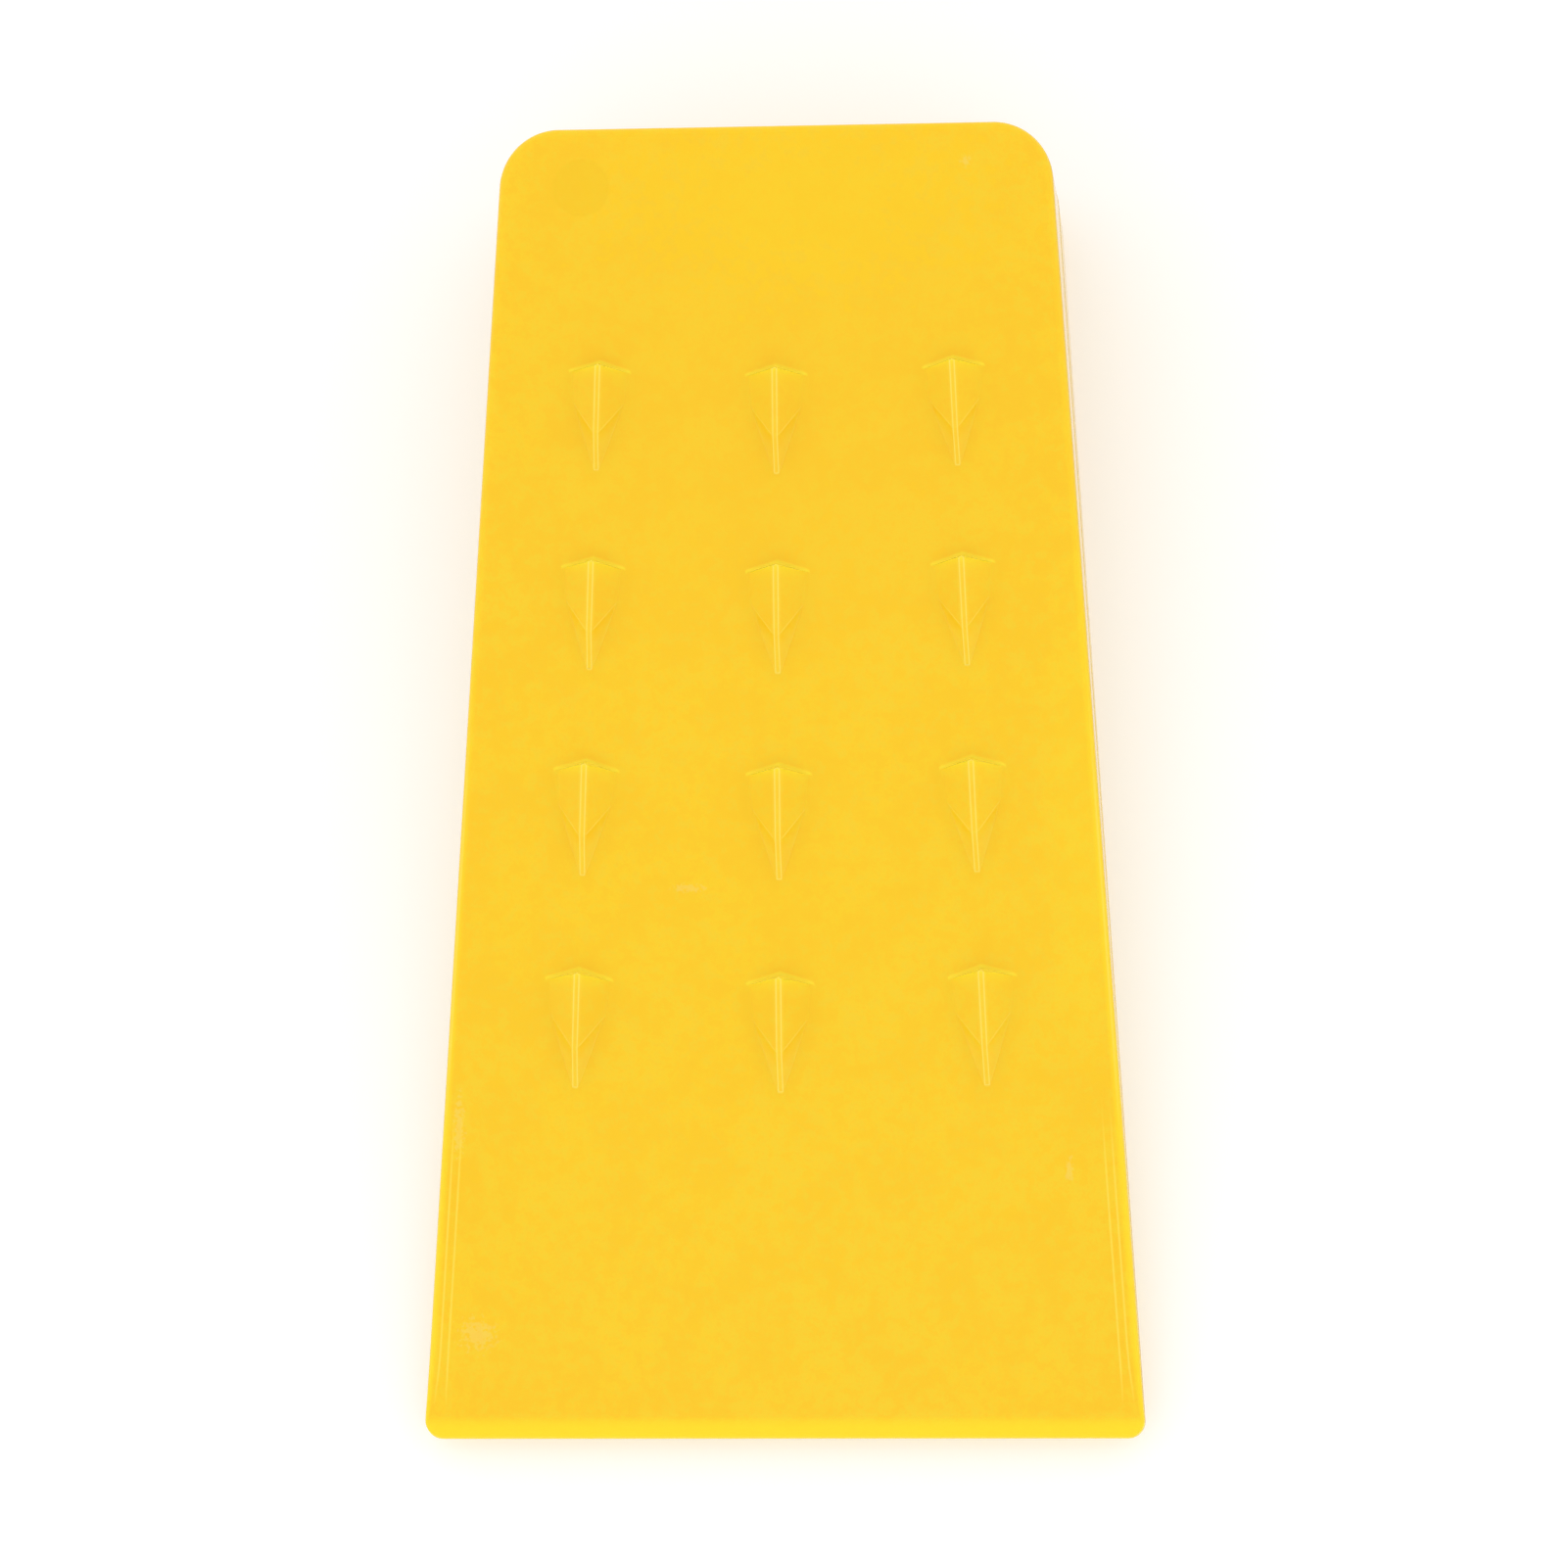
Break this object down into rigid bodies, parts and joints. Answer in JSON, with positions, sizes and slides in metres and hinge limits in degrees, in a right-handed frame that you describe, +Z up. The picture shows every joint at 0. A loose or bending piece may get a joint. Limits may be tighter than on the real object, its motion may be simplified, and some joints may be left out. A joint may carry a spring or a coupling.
{
  "type": "felling wedge",
  "caption": "Small solid plastic felling wedge: a flared tapering block with a bevelled tip, a round-cornered striking head and rows of low barbs on both faces.",
  "frame": {"origin": "centre of the base of the bounding box, on the surface that the lower barbs rest on", "axes": "+X across the wedge, +Y along it from the thin tip to the thick striking head, +Z up"},
  "size_m": [0.0776, 0.14, 0.0269],
  "materials": {
    "yellow_plastic": "satin, fine grained, slightly translucent"
  },
  "bodies": {
    "root": {"felling_wedge": "yellow_plastic"}
  },
  "joints": []
}
